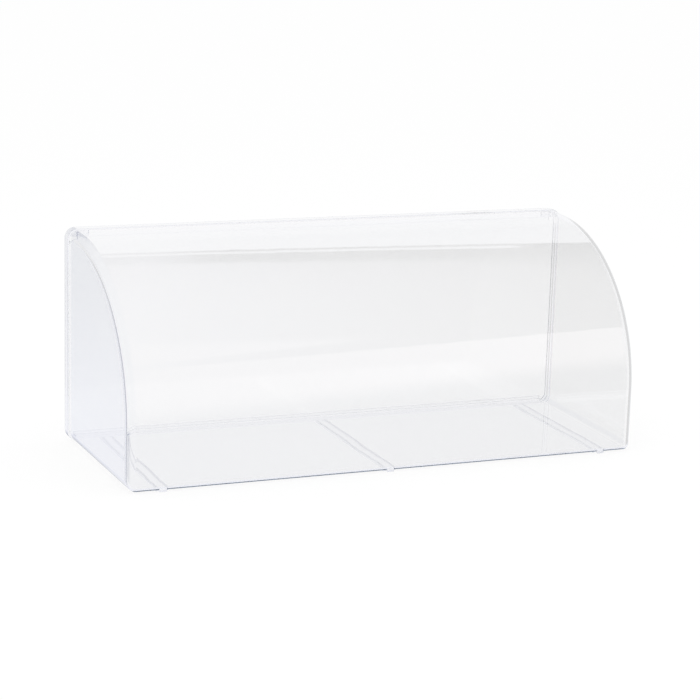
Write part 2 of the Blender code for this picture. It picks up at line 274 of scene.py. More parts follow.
# %% [markdown]
# ## The curved skin
#
# Seen from the side, every place across the case has the same outline, and at the ends it shrinks round a
# fillet. That is a rule, so Geometry Nodes can make the surface: a rail runs round the side view, a section
# runs across the case, Curve to Mesh weaves the two, and Set Position puts each point where the rule says.
# The rail carries the direction that points into the case, so sharp corners keep their wall.

# %% The rail round the side view
ARC_STEPS = 96
EDGE_STEPS = 8


def rail_points():
    """Corners of the side view, from the rim round the base and the front to the rim again."""
    points = [(rim_start_y, underside_z), (front_y, underside_z)]
    reach, rise = arc_end_y - front_y, arc_top_z - shoulder_z
    for step in range(ARC_STEPS + 1):
        turn = QUARTER_TURN * step / ARC_STEPS
        points.append((arc_end_y - reach * math.cos(turn), shoulder_z + rise * math.sin(turn)))
    points.append((rim_start_y, case_top_z))
    return points


def inward_steps(points):
    """How each point of the rail moves when the outline shrinks by one unit."""
    normals = []
    for (y, z), (next_y, next_z) in zip(points, points[1:]):
        length = math.hypot(next_y - y, next_z - z)
        normals.append(((next_z - z) / length, (y - next_y) / length))
    steps = [(0.0, 1 / normals[0][1])]
    for before, after in zip(normals, normals[1:]):
        spread = 1 + before[0] * after[0] + before[1] * after[1]
        steps.append(((before[0] + after[0]) / spread, (before[1] + after[1]) / spread))
    steps.append((0.0, 1 / normals[-1][1]))
    return steps


def round_front_edge(points, steps, radius):
    """Puts a small arc in place of the lower front corner. All its points move inwards as the corner did."""
    y, z = front_y + radius, underside_z + radius
    arc_points = []
    for step in range(EDGE_STEPS + 1):
        turn = QUARTER_TURN * step / EDGE_STEPS
        arc_points.append((y - radius * math.sin(turn), z - radius * math.cos(turn)))
    arc_moves = [steps[1]] * len(arc_points)
    return points[:1] + arc_points + points[2:], steps[:1] + arc_moves + steps[2:]


def make_rail(name, radius):
    corners = rail_points()
    points, steps = round_front_edge(corners, inward_steps(corners), radius)
    mesh = bpy.data.meshes.new(name)
    mesh.from_pydata([(0, y, z) for y, z in points], [(i, i + 1) for i in range(len(points) - 1)], [])
    inward = mesh.attributes.new("inward", "FLOAT_VECTOR", "POINT")
    for slot, (y, z) in zip(inward.data, steps):
        slot.vector = (0, y, z)
    rail = bpy.data.objects.new(name, mesh)
    bpy.context.scene.collection.objects.link(rail)
    return rail


outer_rail = make_rail("outer_rail", EDGE_ROUND)
inner_rail = make_rail("inner_rail", INNER_EDGE_ROUND)
print("each rail has", len(outer_rail.data.vertices), "points")

# %% Helpers for building a node tree
def new_tree(name, sizes):
    """A Geometry Nodes tree with one named input for each size."""
    tree = bpy.data.node_groups.new(name, "GeometryNodeTree")
    tree.interface.new_socket("Geometry", in_out="INPUT", socket_type="NodeSocketGeometry")
    for label, kind in sizes.items():
        tree.interface.new_socket(label, in_out="INPUT", socket_type="NodeSocket" + kind)
    tree.interface.new_socket("Geometry", in_out="OUTPUT", socket_type="NodeSocketGeometry")
    return tree, tree.nodes.new("NodeGroupInput"), tree.nodes.new("NodeGroupOutput")


def store(tree, geometry, name, kind, value):
    """Stores a value on the points under a name."""
    node = tree.nodes.new("GeometryNodeStoreNamedAttribute")
    node.data_type = kind
    node.domain = "POINT"
    node.inputs["Name"].default_value = name
    tree.links.new(geometry, node.inputs["Geometry"])
    put(tree, node.inputs["Value"], value)
    return node.outputs["Geometry"]


def stored(tree, name, kind):
    node = tree.nodes.new("GeometryNodeInputNamedAttribute")
    node.data_type = kind
    node.inputs["Name"].default_value = name
    return node.outputs["Attribute"]


def finish_tree(tree, geometry, output, material):
    real = tree.nodes.new("GeometryNodeRealizeInstances")
    tree.links.new(geometry, real.inputs["Geometry"])
    paint = tree.nodes.new("GeometryNodeSetMaterial")
    paint.inputs["Material"].default_value = material
    tree.links.new(real.outputs["Geometry"], paint.inputs["Geometry"])
    tree.links.new(paint.outputs["Geometry"], output.inputs["Geometry"])


def apply_tree(source, tree, sizes, name):
    """Runs the tree on the source with these sizes and returns the result as a plain mesh."""
    step = source.modifiers.new(tree.name, "NODES")
    step.node_group = tree
    for item in tree.interface.items_tree:
        if item.in_out == "INPUT" and item.name in sizes:
            step[item.identifier] = sizes[item.name]
    source.update_tag()
    evaluated = source.evaluated_get(bpy.context.evaluated_depsgraph_get())
    mesh = bpy.data.meshes.new_from_object(evaluated)
    mesh.name = name
    source.modifiers.remove(step)
    return mesh


print("node helpers ready")

# %% The tree that weaves the skin
FILLET_STEPS = 16
skin_sizes = {
    "Front half": "Float",
    "Front place": "Float",
    "Draft": "Float",
    "End fillet": "Float",
    "Depth in the wall": "Float",
    "Fillet steps": "Int",
}


def make_skin_tree():
    tree, given, output = new_tree("case_skin", skin_sizes)
    sizes = given.outputs

    # The section: one point for each column across the case, numbered from the left end
    columns = calculate(tree, "MULTIPLY", calculate(tree, "ADD", sizes["Fillet steps"], 1.0), 2.0)
    line = tree.nodes.new("GeometryNodeMeshLine")
    tree.links.new(columns, line.inputs["Count"])
    line.inputs["Offset"].default_value = (MM, 0, 0)
    index = tree.nodes.new("GeometryNodeInputIndex").outputs["Index"]
    right = calculate(tree, "GREATER_THAN", index, sizes["Fillet steps"])
    side = calculate(tree, "SUBTRACT", calculate(tree, "MULTIPLY", right, 2.0), 1.0)
    middle = calculate(tree, "ADD", sizes["Fillet steps"], 0.5)
    from_middle = calculate(tree, "ABSOLUTE", calculate(tree, "SUBTRACT", index, middle))
    step_number = calculate(tree, "SUBTRACT", from_middle, 0.5)
    share = calculate(tree, "DIVIDE", step_number, sizes["Fillet steps"])
    turn = calculate(tree, "MULTIPLY", share, QUARTER_TURN)
    section = store(tree, line.outputs["Mesh"], "side", "FLOAT", side)
    section = store(tree, section, "fillet_turn", "FLOAT", turn)
    section_curve = tree.nodes.new("GeometryNodeMeshToCurve")
    tree.links.new(section, section_curve.inputs["Mesh"])

    # The rail keeps its own places, which the weave would overwrite
    position = tree.nodes.new("GeometryNodeInputPosition").outputs["Position"]
    kept_rail = store(tree, sizes["Geometry"], "rail_place", "FLOAT_VECTOR", position)
    rail_curve = tree.nodes.new("GeometryNodeMeshToCurve")
    tree.links.new(kept_rail, rail_curve.inputs["Mesh"])
    weave = tree.nodes.new("GeometryNodeCurveToMesh")
    tree.links.new(rail_curve.outputs["Curve"], weave.inputs["Curve"])
    tree.links.new(section_curve.outputs["Curve"], weave.inputs["Profile Curve"])

    # The rule: shrink the outline round the fillet, and keep to the drafted width
    radius = calculate(tree, "SUBTRACT", sizes["End fillet"], sizes["Depth in the wall"])
    around = stored(tree, "fillet_turn", "FLOAT")
    inset_part = calculate(tree, "MULTIPLY", radius, calculate(tree, "COSINE", around))
    inset = calculate(tree, "SUBTRACT", sizes["End fillet"], inset_part)
    back_part = calculate(tree, "MULTIPLY", radius, calculate(tree, "SINE", around))
    back = calculate(tree, "SUBTRACT", sizes["End fillet"], back_part)
    rail_place = parts_of(tree, stored(tree, "rail_place", "FLOAT_VECTOR"))
    inward = parts_of(tree, stored(tree, "inward", "FLOAT_VECTOR"))
    y = calculate(tree, "ADD", rail_place["Y"], calculate(tree, "MULTIPLY", inward["Y"], inset))
    z = calculate(tree, "ADD", rail_place["Z"], calculate(tree, "MULTIPLY", inward["Z"], inset))
    depth = calculate(tree, "SUBTRACT", y, sizes["Front place"])
    widening = calculate(tree, "MULTIPLY", depth, sizes["Draft"])
    half = calculate(tree, "SUBTRACT", calculate(tree, "ADD", sizes["Front half"], widening), back)
    x = calculate(tree, "MULTIPLY", half, stored(tree, "side", "FLOAT"))
    place = tree.nodes.new("ShaderNodeCombineXYZ")
    for socket, value in zip(place.inputs, (x, y, z)):
        tree.links.new(value, socket)
    move = tree.nodes.new("GeometryNodeSetPosition")
    tree.links.new(weave.outputs["Mesh"], move.inputs["Geometry"])
    tree.links.new(place.outputs["Vector"], move.inputs["Position"])
    finish_tree(tree, move.outputs["Geometry"], output, moulding)
    return tree


skin_tree = make_skin_tree()
print("the skin tree has", len(skin_tree.nodes), "nodes")

# %% Weave the outer and the inner skin
def weave_skin(rail, depth, name):
    sizes = {
        "Front half": front_half,
        "Front place": front_y,
        "Draft": math.tan(DRAFT),
        "End fillet": END_FILLET,
        "Depth in the wall": depth,
        "Fillet steps": FILLET_STEPS,
    }
    return apply_tree(rail, skin_tree, sizes, name)


outer_skin = weave_skin(outer_rail, 0.0, "outer_skin")
inner_skin = weave_skin(inner_rail, WALL, "inner_skin")
print("each skin has", len(outer_skin.vertices), "points and", len(outer_skin.polygons), "faces")

# %% [markdown]
# ## The moulded shell
#
# The two skins become one closed wall. Each gets its flat ends, and its open edge grows rearwards into the
# stepped rim: the outer edge in a soft S, the inner one round a wider arc, because a wall bends that way. Then
# the two edges are joined across the rim's rounded lip, and the toes of the strips get their notches.

# %% Grow a skin into the rim
LIP_ROUND = 0.5 * MM
LIP_STEPS = 4
STEP_RUN = 3 * MM  # length of the soft S from the wall to the rim, on the outside
INNER_BEND = 3.35 * MM  # radius of the inner bend into the rim
STEP_STEPS = 8


def close_ends(shape, columns):
    rows = list(shape.verts)
    left = rows[0::columns]
    right = rows[columns - 1 :: columns]
    shape.faces.new(left)
    shape.faces.new(list(reversed(right)))


def opening_ring(shape, columns):
    """The points round the open edge: along the base from left to right, then back along the top."""
    rows = list(shape.verts)
    return rows[:columns] + list(reversed(rows[-columns:]))


def outward(ring):
    """For each point of the ring, the sideways move that widens it by one unit."""
    count = len(ring)
    places = [(vert.co.x, vert.co.z) for vert in ring]
    normals = []
    for i, (x, z) in enumerate(places):
        next_x, next_z = places[(i + 1) % count]
        length = math.hypot(next_x - x, next_z - z)
        normals.append(((next_z - z) / length, (x - next_x) / length))
    moves = []
    for i in range(count):
        before, after = normals[i - 1], normals[i]
        spread = 1 + before[0] * after[0] + before[1] * after[1]
        moves.append(((before[0] + after[0]) / spread, (before[1] + after[1]) / spread))
    return moves


def join_rings(shape, first, second):
    for i in range(len(first)):
        after = (i + 1) % len(first)
        shape.faces.new((first[i], first[after], second[after], second[i]))


def grow_ring(shape, ring, path):
    """Adds one loop of faces for each (out, back) of the path, measured from the ring."""
    moves = outward(ring)
    starts = [vert.co.copy() for vert in ring]
    for out, back in path:
        grown = []
        for start, (x, z) in zip(starts, moves):
            grown.append(shape.verts.new((start.x + out * x, start.y + back, start.z + out * z)))
        join_rings(shape, ring, grown)
        ring = grown
    return ring


def outer_path():
    """Two equal arcs that meet halfway up the step, then the rounded lip."""
    bend = 2 * math.atan(RIM_STEP / STEP_RUN)
    radius = STEP_RUN / 2 / math.sin(bend)
    path = []
    for step in range(1, STEP_STEPS + 1):
        turn = bend * step / STEP_STEPS
        path.append((radius * (1 - math.cos(turn)), radius * math.sin(turn)))
    for step in range(1, STEP_STEPS + 1):
        turn = bend * (1 - step / STEP_STEPS)
        path.append((RIM_STEP - radius * (1 - math.cos(turn)), STEP_RUN - radius * math.sin(turn)))
    for step in range(LIP_STEPS + 1):
        turn = QUARTER_TURN * step / LIP_STEPS
        out = RIM_STEP - LIP_ROUND * (1 - math.cos(turn))
        path.append((out, RIM_LENGTH - LIP_ROUND * (1 - math.sin(turn))))
    return path


def inner_path():
    """One arc down to the crisp corner that the flap rests in, then the rounded lip."""
    path = []
    end = math.acos((INNER_BEND - RIM_STEP) / INNER_BEND)
    for step in range(1, STEP_STEPS + 1):
        turn = end * step / STEP_STEPS
        path.append((INNER_BEND * (1 - math.cos(turn)), INNER_BEND * math.sin(turn)))
    for step in range(LIP_STEPS + 1):
        turn = QUARTER_TURN * step / LIP_STEPS
        out = RIM_STEP + LIP_ROUND * (1 - math.cos(turn))
        path.append((out, RIM_LENGTH - LIP_ROUND * (1 - math.sin(turn))))
    return path


print("the rim's paths have", len(outer_path()), "and", len(inner_path()), "loops")

# %% Join the skins into one wall
def link(name, mesh):
    made = bpy.data.objects.new(name, mesh)
    bpy.context.scene.collection.objects.link(made)
    return made


def new_piece(name, shape, material):
    """Turns a bmesh into an object, with its faces pointing outwards."""
    bmesh.ops.recalc_face_normals(shape, faces=shape.faces)
    mesh = bpy.data.meshes.new(name)
    shape.to_mesh(mesh)
    shape.free()
    mesh.materials.clear()
    mesh.materials.append(material)
    return link(name, mesh)


def make_shell():
    columns = 2 * (FILLET_STEPS + 1)
    shape = bmesh.new()
    shape.from_mesh(outer_skin)
    close_ends(shape, columns)
    outer_ring = grow_ring(shape, opening_ring(shape, columns), outer_path())

    inside = bmesh.new()
    inside.from_mesh(inner_skin)
    close_ends(inside, columns)
    inner_start = opening_ring(inside, columns)
    inner_ring = grow_ring(inside, inner_start, inner_path())
    for number, vert in enumerate(inside.verts):
        vert.index = number
    first = len(shape.verts)
    copies = [shape.verts.new(vert.co) for vert in inside.verts]
    for face in inside.faces:
        shape.faces.new([copies[vert.index] for vert in face.verts])
    join_rings(shape, outer_ring, [copies[vert.index] for vert in inner_ring])
    inside.free()
    print("the outer skin and rim have", first, "points")
    return new_piece("clear_case", shape, moulding)


clear_case = make_shell()

# %% [markdown]
# ## Cutting and softening
#
# Boolean cuts make the notches, and Bevel rounds the edges that the tool leaves sharp. Weighted Normal keeps
# the large flats optically flat: without it, their shading would lean towards the fillets next to them and
# bend everything that is seen through the plastic.

# %% Helpers for cuts, joins and soft edges
OVERRUN = 5 * MM  # how far a cutter reaches past what it cuts
SOFT_EDGE = 0.3 * MM
SHARP_ANGLE = math.radians(40)
FLAT_WEIGHT = 80  # how strongly large flats decide the shading
SOFT_SEGMENTS = 3


def prism(outline, place, start, end):
    """Extrudes a flat outline from start to end. place(u, v, along) puts an outline point in space."""
    shape = bmesh.new()
    first = [shape.verts.new(place(u, v, start)) for u, v in outline]
    last = [shape.verts.new(place(u, v, end)) for u, v in outline]
    shape.faces.new(first)
    shape.faces.new(list(reversed(last)))
    for i in range(len(first)):
        after = (i + 1) % len(first)
        shape.faces.new((first[i], last[i], last[after], first[after]))
    bmesh.ops.recalc_face_normals(shape, faces=shape.faces)
    return shape


def along_x(y, z, x):
    return (x, y, z)


def along_y(x, z, y):
    return (x, y, z)


def along_z(x, y, z):
    return (x, y, z)


def arc(centre, radius, start, end, steps):
    turns = [start + (end - start) * step / steps for step in range(steps + 1)]
    return [(centre[0] + radius * math.cos(turn), centre[1] + radius * math.sin(turn)) for turn in turns]


def rectangle(left, right, low, high):
    return [(left, low), (right, low), (right, high), (left, high)]


def round_rectangle(left, right, low, high, radius, steps):
    points = arc((right - radius, low + radius), radius, -QUARTER_TURN, 0, steps)
    points += arc((right - radius, high - radius), radius, 0, QUARTER_TURN, steps)
    points += arc((left + radius, high - radius), radius, QUARTER_TURN, 2 * QUARTER_TURN, steps)
    points += arc((left + radius, low + radius), radius, 2 * QUARTER_TURN, 3 * QUARTER_TURN, steps)
    return points


def combine(target, shape, operation):
    """Applies one exact Boolean and removes its helper."""
    mesh = bpy.data.meshes.new("helper")
    shape.to_mesh(mesh)
    shape.free()
    other = link("helper", mesh)
    step = target.modifiers.new("combine", "BOOLEAN")
    step.operation = operation
    step.object = other
    result = bpy.data.meshes.new_from_object(target.evaluated_get(bpy.context.evaluated_depsgraph_get()))
    target.modifiers.remove(step)
    target.data = result
    bpy.data.objects.remove(other, do_unlink=True)


def soften(piece, width, segments=SOFT_SEGMENTS):
    """Rounds the sharp edges and shades the rest smooth, with the flats kept flat."""
    edge = piece.modifiers.new("soft edge", "BEVEL")
    edge.width = width
    edge.segments = segments
    edge.limit_method = "ANGLE"
    edge.angle_limit = SHARP_ANGLE
    edge.harden_normals = False
    piece.data.shade_smooth()
    flats = piece.modifiers.new("flat flats", "WEIGHTED_NORMAL")
    flats.mode = "FACE_AREA"
    flats.weight = FLAT_WEIGHT
    result = bpy.data.meshes.new_from_object(piece.evaluated_get(bpy.context.evaluated_depsgraph_get()))
    piece.modifiers.clear()
    piece.data = result


print("helpers ready")

# %% Cut the toe notches and soften the shell
TOE_WIDTH = 7.5 * MM
TOE_SIZE = 1.9 * MM  # how far a toe reaches up and back into its notch
strip_places = [-strip_spacing, 0.0, strip_spacing]
notch_half = TOE_WIDTH / 2 + SEAT_GAP
for x in strip_places:
    plan = rectangle(x - notch_half, x + notch_half, front_y - OVERRUN, front_y + TOE_SIZE + SEAT_GAP)
    notch = prism(plan, along_z, underside_z - OVERRUN, underside_z + TOE_SIZE + SEAT_GAP)
    combine(clear_case, notch, "DIFFERENCE")
soften(clear_case, SOFT_EDGE)
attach(clear_case, "case")
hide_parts("case_shell")
print("clear_case has", len(clear_case.data.polygons), "faces")

# %% [markdown]
# ## The flap door
#
# The flap is a thin plate with a round bead along its head that turns on the pins, and a flange along its foot
# with a turned-up edge for the fingers. It is a few flat outlines, extruded and joined by Booleans, as a
# toolmaker would cut the mould.

# %% Make the flap door
PANEL = 2 * MM
BEAD_RADIUS = 3.2 * MM
PANEL_OFFSET = 0.4 * MM  # the flap hangs a little behind the hinge line
PULL_THICKNESS = 2.2 * MM
PULL_LIP = 2.6 * MM
PULL_LIP_THICKNESS = 2 * MM
PIN_GAP = 0.15 * MM
BORE_END_GAP = 0.5 * MM
EYE_GAP = 0.7 * MM
DOOR_GAP = 0.8 * MM
ROUND_STEPS = 48
CORNER_STEPS = 12
SMALL_PIECE_SEGMENTS = 2

hinge = frame["joints"][0]["pos_m"]
hinge_y, hinge_z = hinge[1], hinge[2]
door_half = door_high.x
door_corner = END_FILLET + RIM_STEP - WALL - DOOR_GAP
panel_front_y = hinge_y + PANEL_OFFSET - PANEL / 2
panel_rear_y = panel_front_y + PANEL
bead_half = eye_low.x - EYE_GAP
pin_radius = (pin_high.z - pin_low.z) / 2


def shoulder_height():
    """Height of the door's shoulders, read off the highest points of its solid beside the bead."""
    places = [vert.co for vert in frame["nodes"]["rear_door"].data.vertices]
    return max(place.z for place in places if place.x > bead_half + 2 * EYE_GAP)


door_shoulder_z = shoulder_height()


def door_outline():
    low = door_low.z + door_corner
    high = door_shoulder_z - door_corner
    side = door_half - door_corner
    points = arc((side, low), door_corner, -QUARTER_TURN, 0, CORNER_STEPS)
    points += arc((side, high), door_corner, 0, QUARTER_TURN, CORNER_STEPS)
    points += [(bead_half, door_shoulder_z), (bead_half, hinge_z)]
    points += [(-bead_half, hinge_z), (-bead_half, door_shoulder_z)]
    points += arc((-side, high), door_corner, QUARTER_TURN, 2 * QUARTER_TURN, CORNER_STEPS)
    points += arc((-side, low), door_corner, 2 * QUARTER_TURN, 3 * QUARTER_TURN, CORNER_STEPS)
    return points


def pull_section():
    """The flange along the foot, with its turned-up edge."""
    edge_y = door_high.y
    top = door_low.z + PULL_THICKNESS
    lip_radius = PULL_LIP_THICKNESS / 2
    crown = top + PULL_LIP - lip_radius
    points = [(door_low.y, door_low.z), (edge_y, door_low.z)]
    points += arc((edge_y - lip_radius, crown), lip_radius, 0, 2 * QUARTER_TURN, CORNER_STEPS)
    points += [(edge_y - PULL_LIP_THICKNESS, top), (door_low.y, top)]
    return points


def pin_circle(radius):
    return arc((hinge_y, hinge_z), radius, 0, 4 * QUARTER_TURN, ROUND_STEPS)[:-1]


def make_door():
    plate = prism(door_outline(), along_y, panel_front_y, panel_rear_y)
    door = new_piece("flap_door", plate, door_plastic)
    combine(door, prism(pin_circle(BEAD_RADIUS), along_x, -bead_half, bead_half), "UNION")
    pull_half = door_half - door_corner
    combine(door, prism(pull_section(), along_x, -pull_half, pull_half), "UNION")
    for side in (-1, 1):
        start = side * (pin_low.x - BORE_END_GAP)
        end = side * (bead_half + OVERRUN)
        combine(door, prism(pin_circle(pin_radius + PIN_GAP), along_x, start, end), "DIFFERENCE")
    soften(door, SOFT_EDGE)
    return door


flap_door = make_door()
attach(flap_door, "door")
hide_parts("rear_door")
print("flap_door has", len(flap_door.data.polygons), "faces")

# %% [markdown]
# ## Eyes and pins
#
# Two small eyes are bonded into the rim's upper corners, and a pin in each carries the flap. They are small,
# but a clear eye in a clear corner shows as a dark knot, so they get their true round shape and soft edges.

# %% Make the eyes and the pins
def make_eye(side, name):
    top = eye_high.z + SEAT_GAP
    section = arc((hinge_y, hinge_z), BEAD_RADIUS, 2 * QUARTER_TURN, 4 * QUARTER_TURN, ROUND_STEPS // 2)
    section += [(hinge_y + BEAD_RADIUS, top), (hinge_y - BEAD_RADIUS, top)]
    shape = prism(section, along_x, side * eye_low.x, side * (eye_high.x + SEAT_GAP))
    eye = new_piece(name, shape, hinge_plastic)
    corner = END_FILLET + RIM_STEP - WALL - SEAT_GAP
    opening = round_rectangle(-eye_high.x, eye_high.x, underside_z, eye_high.z, corner, CORNER_STEPS)
    combine(eye, prism(opening, along_y, rim_start_y, rear_y), "INTERSECT")
    start, end = side * (eye_low.x - OVERRUN), side * (eye_high.x + OVERRUN)
    combine(eye, prism(pin_circle(pin_radius + PIN_GAP), along_x, start, end), "DIFFERENCE")
    soften(eye, SOFT_EDGE, SMALL_PIECE_SEGMENTS)
    return eye


def make_pin(side, name):
    shape = prism(pin_circle(pin_radius), along_x, side * pin_low.x, side * pin_high.x)
    pin = new_piece(name, shape, hinge_plastic)
    soften(pin, SOFT_EDGE, SMALL_PIECE_SEGMENTS)
    return pin


for side, word in ((-1, "left"), (1, "right")):
    eye = make_eye(side, "eye_" + word)
    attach(eye, "case")
    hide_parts("hinge_eye_" + word)
    pin = make_pin(side, "pin_" + word)
    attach(pin, "case")
    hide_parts("hinge_pin_" + word)
print("two eyes and two pins")

# %% [markdown]
# ## The foot strips
#
# Three equal strips lie under the base, so one is modelled and Geometry Nodes place it three times: a line of
# points gives the places, Instance on Points repeats the strip, and Realize Instances makes it real.

# %% Make one strip
STRIP_SETBACK = 5 * MM  # from the front to the full width of a strip


def make_one_strip():
    half = (strip_high.x - strip_low.x) / 2
    toe_half = TOE_WIDTH / 2
    wide_y = front_y + STRIP_SETBACK
    thickness = underside_z - SEAT_GAP
    plan = [
        (-toe_half, strip_low.y),
        (toe_half, strip_low.y),
        (toe_half, wide_y),
        (half, wide_y),
        (half, strip_high.y),
        (-half, strip_high.y),
        (-half, wide_y),
        (-toe_half, wide_y),
    ]
    strip = new_piece("one_strip", prism(plan, along_z, 0.0, thickness), strip_plastic)
    toe = rectangle(-toe_half, toe_half, strip_low.y, strip_low.y + TOE_SIZE)
    combine(strip, prism(toe, along_z, 0.0, strip_high.z), "UNION")
    soften(strip, SOFT_EDGE, SMALL_PIECE_SEGMENTS)
    return strip


one_strip = make_one_strip()
print("one strip has", len(one_strip.data.polygons), "faces")

# %% Repeat it with Geometry Nodes
def make_strip_tree():
    tree, given, output = new_tree("strips_in_a_row", {"Strips": "Int", "Spacing": "Float"})
    steps = calculate(tree, "SUBTRACT", given.outputs["Strips"], 1.0)
    run = calculate(tree, "MULTIPLY", steps, given.outputs["Spacing"])
    half_run = calculate(tree, "MULTIPLY", run, -0.5)
    start = tree.nodes.new("ShaderNodeCombineXYZ")
    tree.links.new(half_run, start.inputs["X"])
    stride = tree.nodes.new("ShaderNodeCombineXYZ")
    tree.links.new(given.outputs["Spacing"], stride.inputs["X"])
    row = tree.nodes.new("GeometryNodeMeshLine")
    tree.links.new(given.outputs["Strips"], row.inputs["Count"])
    tree.links.new(start.outputs["Vector"], row.inputs["Start Location"])
    tree.links.new(stride.outputs["Vector"], row.inputs["Offset"])
    repeat = tree.nodes.new("GeometryNodeInstanceOnPoints")
    tree.links.new(row.outputs["Mesh"], repeat.inputs["Points"])
    tree.links.new(given.outputs["Geometry"], repeat.inputs["Instance"])
    finish_tree(tree, repeat.outputs["Instances"], output, strip_plastic)
    return tree


row_sizes = {"Strips": len(strip_places), "Spacing": strip_spacing}
strip_mesh = apply_tree(one_strip, make_strip_tree(), row_sizes, "foot_strips")
foot_strips = link("foot_strips", strip_mesh)
for helper in (one_strip, outer_rail, inner_rail):
    bpy.data.objects.remove(helper, do_unlink=True)
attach(foot_strips, "case")
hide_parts("foot_strip_left", "foot_strip_middle", "foot_strip_right")
print("foot_strips has", len(foot_strips.data.polygons), "faces")

# %% [markdown]
# ## The studio
#
# Clear plastic has no colour of its own to show, so what it mirrors is most of its look. The camera and the
# rays that only pass through the plastic see plain white. Rays that are mirrored go through the floor and see
# a studio, which is drawn by their direction alone:
#
# - behind the case, a white sweep, a dark gap with a thin light line in it, and the ceiling;
# - behind the camera, the room with one large soft light and a fainter one above it;
# - to the left, a bluish area that the left end mirrors, and to the right, plain grey;
# - below, and for rays that are mirrored more than once, a light tone.

# %% The floor
FLOOR_DROP = 0.2 * MM  # so that it doesn't share a plane with the strips that stand on it
FLOOR_HALF = 12.0
FLOOR_GLOW = 0.92  # the share of light of its own, the rest takes shadows
MATT_WHITE = (0.9, 0.9, 0.9, 1.0)
MATT_ROUGHNESS = 0.9


def white_floor(name):
    """Matt white that takes shadows, lifted so that it shows as the white of the background."""
    material = bpy.data.materials.new(name)
    material.use_nodes = True
    tree = material.node_tree
    nodes, links = tree.nodes, tree.links
    matt = nodes["Principled BSDF"]
    matt.inputs["Base Color"].default_value = MATT_WHITE
    matt.inputs["Roughness"].default_value = MATT_ROUGHNESS
    matt.inputs["Specular IOR Level"].default_value = 0.0
    glow = nodes.new("ShaderNodeEmission")
    glow.inputs["Color"].default_value = WHITE
    mix = nodes.new("ShaderNodeMixShader")
    mix.inputs["Fac"].default_value = FLOOR_GLOW
    links.new(matt.outputs["BSDF"], mix.inputs[1])
    links.new(glow.outputs["Emission"], mix.inputs[2])

    # Mirrored rays pass the floor, so that the world alone decides what the case mirrors
    path = nodes.new("ShaderNodeLightPath").outputs
    choose = nodes.new("ShaderNodeMixShader")
    put(tree, choose.inputs[0], calculate(tree, "MINIMUM", path["Glossy Depth"], 1.0))
    links.new(mix.outputs["Shader"], choose.inputs[1])
    links.new(nodes.new("ShaderNodeBsdfTransparent").outputs["BSDF"], choose.inputs[2])
    links.new(choose.outputs["Shader"], nodes["Material Output"].inputs["Surface"])
    return material


floor_shape = bmesh.new()
corners = rectangle(-FLOOR_HALF, FLOOR_HALF, -FLOOR_HALF, FLOOR_HALF)
floor_shape.faces.new([floor_shape.verts.new((x, y, -FLOOR_DROP)) for x, y in corners])
floor = new_piece("floor", floor_shape, white_floor("floor_white"))
print("a floor", 2 * FLOOR_HALF, "m wide")

# %% Tones and borders of the studio
SWEEP_LOW = (0.92, 0.92, 0.935, 1.0)
SWEEP_HIGH = (0.86, 0.86, 0.88, 1.0)
CEILING_LEFT = (0.60, 0.58, 0.62, 1.0)
CEILING_RIGHT = (0.14, 0.12, 0.10, 1.0)
DARK_GAP = (0.08, 0.07, 0.06, 1.0)
GAP_END = (0.45, 0.44, 0.48, 1.0)
LIGHT_LINE = (0.85, 0.84, 0.86, 1.0)
ROOM_LEFT = (0.40, 0.42, 0.48, 1.0)
ROOM_RIGHT = (0.22, 0.22, 0.22, 1.0)
MAIN_LIGHT_LEFT = (0.72, 0.68, 0.70, 1.0)
MAIN_LIGHT_RIGHT = (1.0, 0.92, 0.92, 1.0)
SIDE_LIGHT = (0.72, 0.68, 0.70, 1.0)
LEFT_HIGH = (0.60, 0.62, 0.68, 1.0)
LEFT_LOW = (0.78, 0.80, 0.90, 1.0)
LEFT_FAR = (0.56, 0.56, 0.56, 1.0)
LEFT_NEAR = (0.46, 0.48, 0.56, 1.0)
RIGHT_SIDE = (0.68, 0.68, 0.68, 1.0)
ALL_ROUND = (0.95, 0.95, 0.965, 1.0)

# Directions are unit vectors, so X, Y and Z run from -1 to 1. A plain border is a place and its softness.
VIEW_LEFT, VIEW_RIGHT = 0.28, 0.50  # in X, of the directions that the front mirrors
CASE_SIDE = (0.0, 0.05)  # in Y
LEFT_BORDER = (0.2, 0.04)  # in X
RIGHT_BORDER = (0.54, 0.03)  # in X
GROUND_TOP = (-0.40, 0.04)  # in Z
SWEEP_CHANGE = (0.5, 0.08)  # in Z
CEILING_START = (0.25, 0.25)  # in Z
LEFT_AREA = {"X": ((-0.6, 0.05), (-0.12, 0.05)), "Z": ((-0.5, 0.05), (0.1, 0.1))}
LEFT_AREA_START = (0.6, 0.1)  # in Y
LEFT_HIGH_START = (-0.235, 0.05)  # in Z
LEFT_FAR_END = (-0.36, 0.06)  # in X

# Places across the view are measured from its left
GAP_START = (0.025, 0.02)
LINE_END = (0.168, 0.008)

# Sloping borders: the height at the left of the view, the slope and the softness
CREASE = (0.704, 0.30, 0.004)
GAP_TOP = (0.836, 0.20, 0.02)
LINE_LOW = (0.728, 0.25, 0.012)
LINE_HIGH = (0.750, 0.25, 0.006)
MAIN_LIGHT_LOW = (-0.12, 1.5, 0.14)
MAIN_LIGHT_HIGH = (0.50, 0.36, 0.008)
SIDE_LIGHT_LOW = (0.55, 0.95, 0.008)
SIDE_LIGHT_HIGH = (0.76, -1.15, 0.05)
MORE_THAN_ONCE = 1.5  # mirrorings are counted in whole numbers
print("the front mirrors directions with X from", VIEW_LEFT, "to", VIEW_RIGHT)

# %% The world
def sloping(tree, sideways, numbers):
    """A border whose height changes from left to right."""
    at_left, slope, softness = numbers
    height = calculate(tree, "ADD", at_left, calculate(tree, "MULTIPLY", sideways, slope))
    return height, softness


